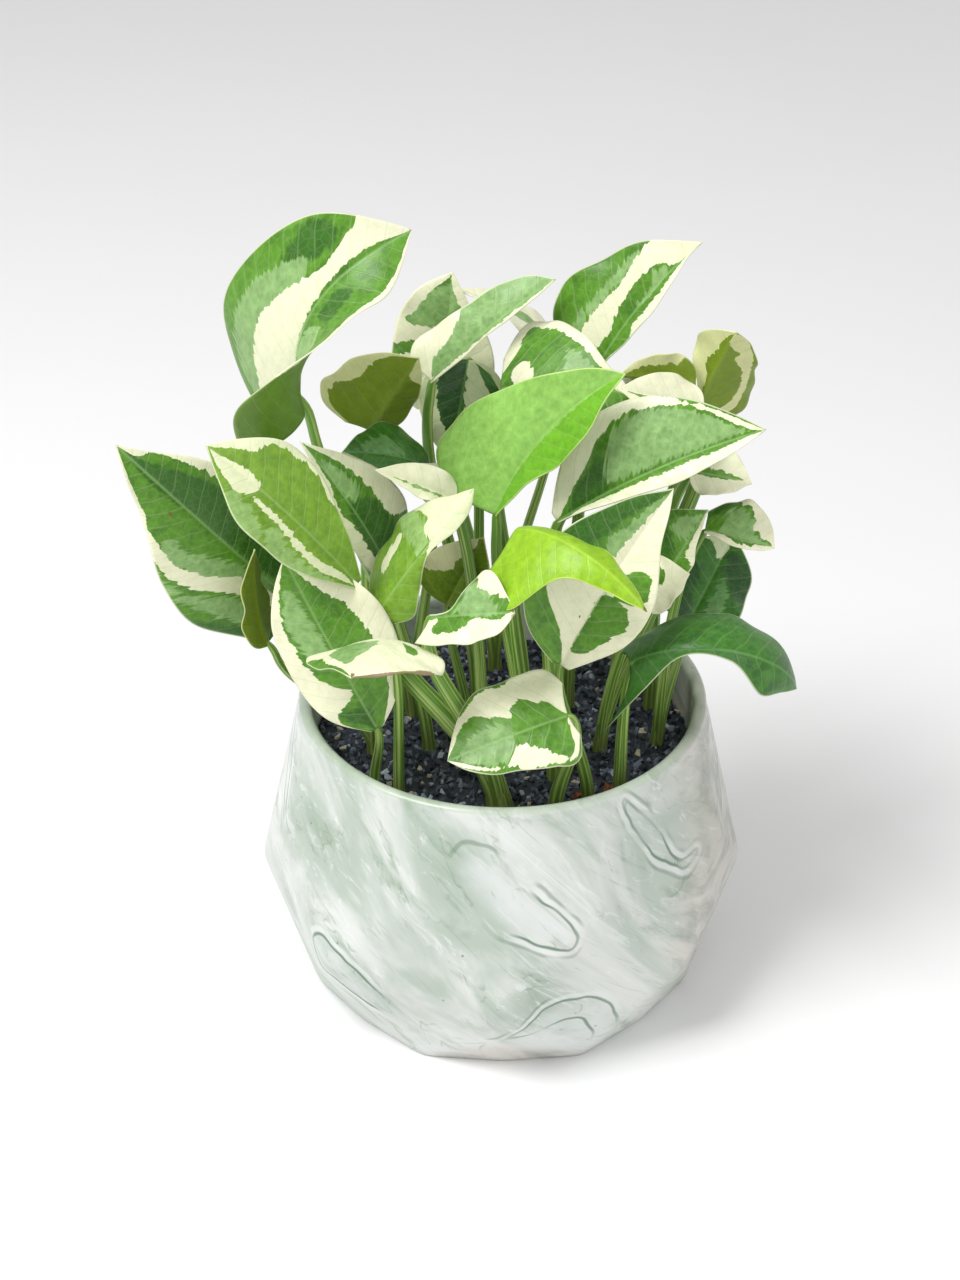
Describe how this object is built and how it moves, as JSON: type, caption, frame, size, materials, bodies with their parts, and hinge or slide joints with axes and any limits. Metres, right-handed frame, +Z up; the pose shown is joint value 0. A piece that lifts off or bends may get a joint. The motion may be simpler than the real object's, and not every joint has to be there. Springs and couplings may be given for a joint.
{
  "type": "potted plant",
  "caption": "Variegated pothos in a faceted marbled ceramic planter: cream and green heart-shaped leaves on curved stems, rooted in soil topped with dark gravel.",
  "frame": {"origin": "centre of the planter's foot, on the surface it stands on", "axes": "+Z up along the planter's axis, -Y towards the front of the arrangement, +X to the right seen from the front"},
  "size_m": [0.2051, 0.1636, 0.2607],
  "materials": {
    "marbled_glaze": "satin",
    "potting_soil": "matte",
    "gravel_bed": "rough",
    "leaf_variegated": "satin",
    "leaf_green": "satin",
    "leaf_dark": "gloss",
    "stem_green": "satin"
  },
  "bodies": {
    "root": {"gravel_bed": "gravel_bed", "leaf_arched": "leaf_variegated", "leaf_back_right": "leaf_variegated", "leaf_behind_rolled": "leaf_variegated", "leaf_big_middle": "leaf_green", "leaf_big_right": "leaf_variegated", "leaf_curled": "leaf_variegated", "leaf_dark_left": "leaf_variegated", "leaf_dark_middle": "leaf_variegated", "leaf_dark_right": "leaf_dark", "leaf_far_left": "leaf_variegated", "leaf_far_right": "leaf_variegated", "leaf_front": "leaf_variegated", "leaf_front_right": "leaf_variegated", "leaf_gap_middle": "leaf_variegated", "leaf_hooked": "leaf_dark", "leaf_left_sliver": "leaf_variegated", "leaf_lime": "leaf_green", "leaf_long_top": "leaf_variegated", "leaf_low_left": "leaf_variegated", "leaf_mid_left": "leaf_variegated", "leaf_olive_back": "leaf_variegated", "leaf_olive_right": "leaf_variegated", "leaf_right_sliver": "leaf_variegated", "leaf_rolled": "leaf_variegated", "leaf_side_right": "leaf_variegated", "leaf_small_middle": "leaf_variegated", "leaf_small_right": "leaf_variegated", "leaf_tip_right": "leaf_variegated", "leaf_top_behind": "leaf_variegated", "leaf_top_left": "leaf_variegated", "leaf_top_middle": "leaf_variegated", "leaf_top_right": "leaf_variegated", "leaf_torn": "leaf_variegated", "leaf_white_left": "leaf_variegated", "pot": "marbled_glaze", "potting_soil": "potting_soil", "stem_arched": "stem_green", "stem_back": "stem_green", "stem_back_edge": "stem_green", "stem_big_middle": "stem_green", "stem_big_right": "stem_green", "stem_far_left": "stem_green", "stem_far_right": "stem_green", "stem_front": "stem_green", "stem_front_left": "stem_green", "stem_front_right": "stem_green", "stem_gap": "stem_green", "stem_hooked": "stem_green", "stem_inner": "stem_green", "stem_inner_right": "stem_green", "stem_left": "stem_green", "stem_middle_left": "stem_green", "stem_right": "stem_green", "stem_right_back": "stem_green", "stem_thick": "stem_green", "stem_top_left": "stem_green", "stem_top_right": "stem_green", "stem_torn": "stem_green"}
  },
  "joints": []
}
